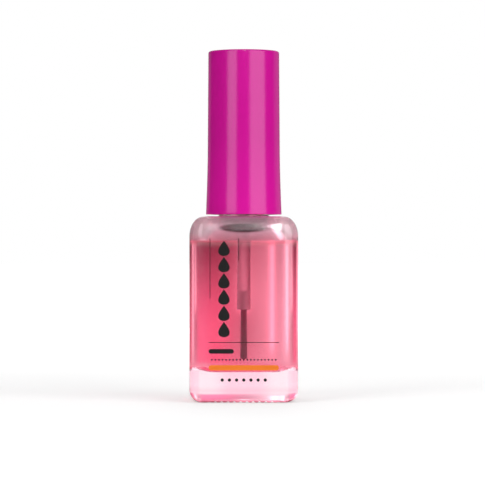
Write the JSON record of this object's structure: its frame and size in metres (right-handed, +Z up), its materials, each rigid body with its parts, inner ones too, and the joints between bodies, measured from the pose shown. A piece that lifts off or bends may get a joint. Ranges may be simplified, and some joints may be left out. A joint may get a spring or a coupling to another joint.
{
  "type": "cuticle oil bottle",
  "caption": "Square clear glass bottle of pink oil with a thick base, a tall flared magenta screw cap and a brush on the cap's stem.",
  "frame": {"origin": "centre of the base, on the surface that the bottle stands on", "axes": "+Z up along the common axis of bottle, brush and cap; -Y is the front panel, towards the picture's camera; +X is the picture's right"},
  "size_m": [0.026, 0.026, 0.0843],
  "materials": {
    "clear_glass": "clear, polished",
    "pink_oil": "clear tinted liquid",
    "magenta_plastic": "semi-gloss moulded",
    "white_plastic": "satin moulded",
    "seal_foam": "matte closed-cell foam",
    "natural_plastic": "translucent moulded",
    "staple_wire": "plated wire",
    "bristle_nylon": "fine filament"
  },
  "bodies": {
    "bottle": {"bottle_glass": "clear_glass", "oil": "pink_oil"},
    "washer": {"seal_washer": "seal_foam"},
    "brush": {"brush_stem": "natural_plastic", "staple": "staple_wire", "bristle_tuft": "bristle_nylon"},
    "cap": {"overcap": "magenta_plastic", "inner_cap": "white_plastic"}
  },
  "joints": [
    {"name": "cap_draw", "type": "slide", "parent": "bottle", "child": "washer", "axis": [0, 0, 1], "range_m": [0, 0.055]},
    {"name": "thread_rise", "type": "slide", "parent": "washer", "child": "brush", "axis": [0, 0, 1], "range_m": [0, 0.0032]},
    {"name": "cap_twist", "type": "hinge", "parent": "brush", "child": "cap", "pos_m": [0, 0, 0.0556], "axis": [0, 0, 1], "range_deg": [0, 540]}
  ],
  "couplings": [
    {"joint": "thread_rise", "follows": "cap_twist", "m_per_rad": 0.00033689}
  ]
}
